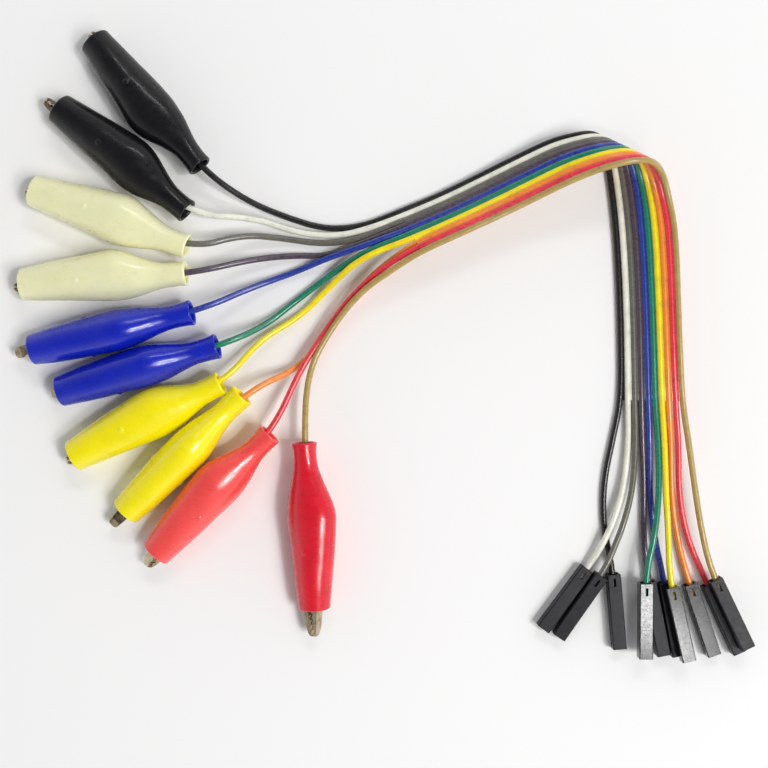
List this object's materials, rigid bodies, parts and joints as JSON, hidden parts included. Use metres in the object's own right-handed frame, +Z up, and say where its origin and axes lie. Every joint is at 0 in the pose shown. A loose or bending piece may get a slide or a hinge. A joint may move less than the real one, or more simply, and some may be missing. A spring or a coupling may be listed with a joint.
{
  "type": "alligator clip lead",
  "caption": "Rainbow ribbon test lead with booted alligator clips on one end and single-way socket housings on the other.",
  "frame": {"origin": "on the surface the lead lies on, under the middle of its clips and housings", "axes": "+Z up from the table; +X from the clips towards the ribbon's fold; +Y from the housings towards the fold"},
  "size_m": [0.1373, 0.1172, 0.0115],
  "materials": {
    "boot_black": "soft glossy black vinyl",
    "boot_white": "soft glossy cream white vinyl",
    "boot_blue": "soft glossy saturated blue vinyl",
    "boot_yellow": "soft glossy bright yellow vinyl",
    "boot_red": "soft glossy red vinyl",
    "wire_black": "glossy black PVC insulation",
    "wire_white": "glossy white PVC insulation",
    "wire_grey": "glossy grey PVC insulation",
    "wire_purple": "glossy purple PVC insulation",
    "wire_blue": "glossy blue PVC insulation",
    "wire_green": "glossy green PVC insulation",
    "wire_yellow": "glossy yellow PVC insulation",
    "wire_orange": "glossy orange PVC insulation",
    "wire_red": "glossy red PVC insulation",
    "wire_brown": "glossy brown PVC insulation",
    "jaw_metal": "nickel-plated pressed steel",
    "pin_metal": "plated rivet steel",
    "spring_steel": "bright spring steel",
    "copper": "tinned stranded copper",
    "solder": "bright solder",
    "housing_black": "satin black nylon",
    "terminal_metal": "tinned phosphor bronze"
  },
  "bodies": {
    "lead": {"boot_black_a": "boot_black", "fixed_jaw_black_a": "jaw_metal", "boot_black_b": "boot_black", "fixed_jaw_black_b": "jaw_metal", "boot_white_a": "boot_white", "fixed_jaw_white_a": "jaw_metal", "boot_white_b": "boot_white", "fixed_jaw_white_b": "jaw_metal", "boot_blue_a": "boot_blue", "fixed_jaw_blue_a": "jaw_metal", "boot_blue_b": "boot_blue", "fixed_jaw_blue_b": "jaw_metal", "boot_yellow_a": "boot_yellow", "fixed_jaw_yellow_a": "jaw_metal", "boot_yellow_b": "boot_yellow", "fixed_jaw_yellow_b": "jaw_metal", "boot_red_a": "boot_red", "fixed_jaw_red_a": "jaw_metal", "boot_red_b": "boot_red", "fixed_jaw_red_b": "jaw_metal", "wire_black": "wire_black", "housing_black": "housing_black", "wire_white": "wire_white", "housing_white": "housing_black", "wire_grey": "wire_grey", "housing_grey": "housing_black", "wire_purple": "wire_purple", "housing_purple": "housing_black", "wire_blue": "wire_blue", "housing_blue": "housing_black", "wire_green": "wire_green", "housing_green": "housing_black", "wire_yellow": "wire_yellow", "housing_yellow": "housing_black", "wire_orange": "wire_orange", "housing_orange": "housing_black", "wire_red": "wire_red", "housing_red": "housing_black", "wire_brown": "wire_brown", "housing_brown": "housing_black", "pivot_pins": "pin_metal", "springs": "spring_steel", "stripped_wire_ends": "copper", "solder_joints": "solder", "crimp_terminals": "terminal_metal"},
    "jaw_black_a": {"moving_jaw_black_a": "jaw_metal"},
    "jaw_black_b": {"moving_jaw_black_b": "jaw_metal"},
    "jaw_white_a": {"moving_jaw_white_a": "jaw_metal"},
    "jaw_white_b": {"moving_jaw_white_b": "jaw_metal"},
    "jaw_blue_a": {"moving_jaw_blue_a": "jaw_metal"},
    "jaw_blue_b": {"moving_jaw_blue_b": "jaw_metal"},
    "jaw_yellow_a": {"moving_jaw_yellow_a": "jaw_metal"},
    "jaw_yellow_b": {"moving_jaw_yellow_b": "jaw_metal"},
    "jaw_red_a": {"moving_jaw_red_a": "jaw_metal"},
    "jaw_red_b": {"moving_jaw_red_b": "jaw_metal"}
  },
  "joints": [
    {"name": "jaw_hinge_black_a", "type": "hinge", "parent": "lead", "child": "jaw_black_a", "pos_m": [-0.04499, 0.04661, 0.00393], "axis": [-0.033, 0.0401, 0.9986], "range_deg": [0, 24], "stiffness_Nm_per_rad": 0.02, "springref_deg": -28.65, "deforming": ["boot_black_a", "springs"]},
    {"name": "jaw_hinge_black_b", "type": "hinge", "parent": "lead", "child": "jaw_black_b", "pos_m": [-0.05117, 0.03659, 0.00377], "axis": [0.1674, 0.1326, -0.9769], "range_deg": [0, 24], "stiffness_Nm_per_rad": 0.02, "springref_deg": -28.65, "deforming": ["boot_black_b", "springs"]},
    {"name": "jaw_hinge_white_a", "type": "hinge", "parent": "lead", "child": "jaw_white_a", "pos_m": [-0.05249, 0.02407, 0.00393], "axis": [0.049, -0.0173, -0.9986], "range_deg": [0, 24], "stiffness_Nm_per_rad": 0.02, "springref_deg": -28.65, "deforming": ["boot_white_a", "springs"]},
    {"name": "jaw_hinge_white_b", "type": "hinge", "parent": "lead", "child": "jaw_white_b", "pos_m": [-0.05383, 0.01212, 0.00379], "axis": [0.0363, 0.1768, -0.9836], "range_deg": [0, 24], "stiffness_Nm_per_rad": 0.02, "springref_deg": -28.65, "deforming": ["boot_white_b", "springs"]},
    {"name": "jaw_hinge_blue_a", "type": "hinge", "parent": "lead", "child": "jaw_blue_a", "pos_m": [-0.05398, 0.00202, 0.00374], "axis": [-0.2302, 0.9428, 0.2412], "range_deg": [0, 24], "stiffness_Nm_per_rad": 0.02, "springref_deg": -28.65, "deforming": ["boot_blue_a", "springs"]},
    {"name": "jaw_hinge_blue_b", "type": "hinge", "parent": "lead", "child": "jaw_blue_b", "pos_m": [-0.04748, -0.00478, 0.00375], "axis": [-0.2627, 0.9592, -0.1042], "range_deg": [0, 24], "stiffness_Nm_per_rad": 0.02, "springref_deg": -28.65, "deforming": ["boot_blue_b", "springs"]},
    {"name": "jaw_hinge_yellow_a", "type": "hinge", "parent": "lead", "child": "jaw_yellow_a", "pos_m": [-0.04561, -0.01465, 0.0039], "axis": [0.0301, 0.0542, -0.9981], "range_deg": [0, 24], "stiffness_Nm_per_rad": 0.02, "springref_deg": -28.65, "deforming": ["boot_yellow_a", "springs"]},
    {"name": "jaw_hinge_yellow_b", "type": "hinge", "parent": "lead", "child": "jaw_yellow_b", "pos_m": [-0.04001, -0.02272, 0.00375], "axis": [-0.7045, 0.7044, 0.0869], "range_deg": [0, 24], "stiffness_Nm_per_rad": 0.02, "springref_deg": -28.65, "deforming": ["boot_yellow_b", "springs"]},
    {"name": "jaw_hinge_red_a", "type": "hinge", "parent": "lead", "child": "jaw_red_a", "pos_m": [-0.03401, -0.02986, 0.00366], "axis": [-0.3844, 0.4283, -0.8178], "range_deg": [0, 24], "stiffness_Nm_per_rad": 0.02, "springref_deg": -28.65, "deforming": ["boot_red_a", "springs"]},
    {"name": "jaw_hinge_red_b", "type": "hinge", "parent": "lead", "child": "jaw_red_b", "pos_m": [-0.01367, -0.03895, 0.00368], "axis": [-0.4039, -0.0677, 0.9123], "range_deg": [0, 24], "stiffness_Nm_per_rad": 0.02, "springref_deg": -28.65, "deforming": ["boot_red_b", "springs"]}
  ]
}
